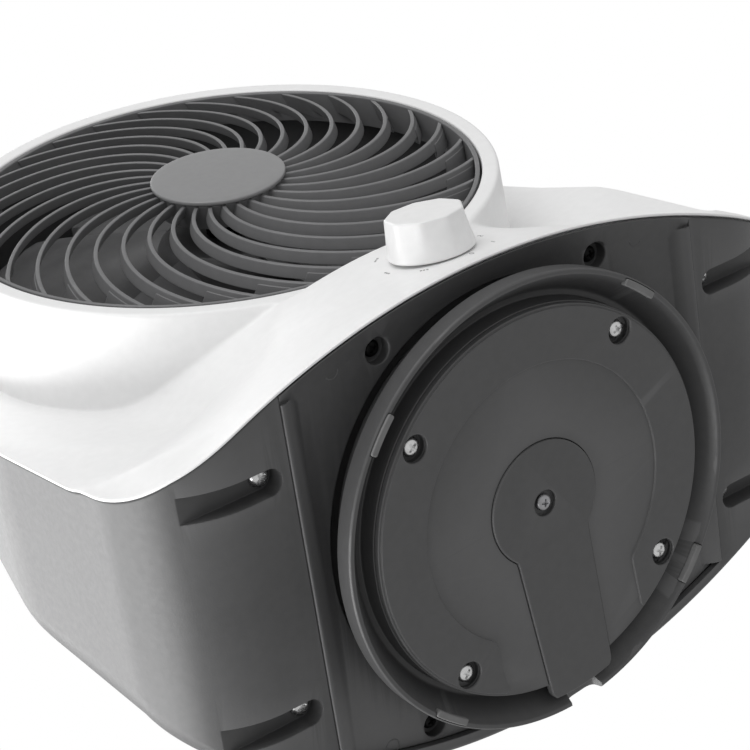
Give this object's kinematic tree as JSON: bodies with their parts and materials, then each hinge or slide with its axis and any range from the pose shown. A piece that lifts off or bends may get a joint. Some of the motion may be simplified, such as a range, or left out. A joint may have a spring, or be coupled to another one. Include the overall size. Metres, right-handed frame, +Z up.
{
  "type": "air mover",
  "caption": "Compact table air mover: a swirl grille, a motor-driven impeller and a front speed knob in a moulded housing that swivels on a round screwed foot.",
  "frame": {"origin": "on the table, under the middle of the overall box", "axes": "+Z up, air blown towards -Y, +X to the right seen from the front"},
  "size_m": [0.311, 0.2076, 0.3287],
  "materials": {
    "white_shell": "semi-gloss moulded white, front shell",
    "knob_white": "satin moulded white",
    "dark_shell": "fine spark-textured charcoal",
    "base_dark": "fine spark-textured charcoal",
    "grille_grey": "satin dark grey",
    "cap_grey": "satin mid grey",
    "blade_grey": "satin dark grey",
    "zinc_steel": "bright zinc plate",
    "black_steel": "black oxide",
    "washer_steel": "stamped steel",
    "shaft_steel": "ground steel",
    "motor_can": "die-cast, matt",
    "switch_body": "black moulded",
    "pad_rubber": "matt"
  },
  "bodies": {
    "base": {"base_tray": "base_dark", "base_cover": "base_dark", "channel_cover": "base_dark", "retaining_washer": "washer_steel", "channel_screw": "black_steel", "base_screw_1": "zinc_steel", "base_screw_2": "zinc_steel", "base_screw_3": "zinc_steel", "base_screw_4": "zinc_steel", "washer_screw_1": "zinc_steel", "washer_screw_2": "zinc_steel", "washer_screw_3": "zinc_steel", "rubber_pad_1": "pad_rubber", "rubber_pad_2": "pad_rubber", "rubber_pad_3": "pad_rubber", "rubber_pad_4": "pad_rubber"},
    "housing": {"rear_shell": "dark_shell", "front_shell": "white_shell", "bottom_panel": "dark_shell", "rear_grille": "dark_shell", "swirl_grille": "grille_grey", "grille_cap": "cap_grey", "motor": "motor_can", "motor_bracket": "dark_shell", "rotary_switch": "switch_body", "flank_screw_1": "zinc_steel", "flank_screw_2": "zinc_steel", "flank_screw_3": "zinc_steel", "flank_screw_4": "zinc_steel", "panel_screw_1": "black_steel", "panel_screw_2": "black_steel", "panel_screw_3": "black_steel", "panel_screw_4": "black_steel", "bracket_screw_1": "zinc_steel", "bracket_screw_2": "zinc_steel", "bracket_screw_3": "zinc_steel", "motor_screw_1": "zinc_steel", "motor_screw_2": "zinc_steel"},
    "impeller_body": {"impeller": "blade_grey", "impeller_nut": "black_steel", "motor_shaft": "shaft_steel"},
    "knob_body": {"knob": "knob_white", "switch_shaft": "shaft_steel"}
  },
  "joints": [
    {"name": "base_swivel", "type": "hinge", "parent": "base", "child": "housing", "pos_m": [0, 0.00516, 0], "axis": [0, 0, 1], "range_deg": [-90, 90]},
    {"name": "impeller_spin", "type": "hinge", "parent": "housing", "child": "impeller_body", "pos_m": [0, -0.07854, 0.1987], "axis": [0, -0.9978, -0.0663], "continuous": true},
    {"name": "knob_turn", "type": "hinge", "parent": "housing", "child": "knob_body", "pos_m": [0, -0.08474, 0.0508], "axis": [0, -0.9929, 0.1191], "range_deg": [0, 135]}
  ]
}
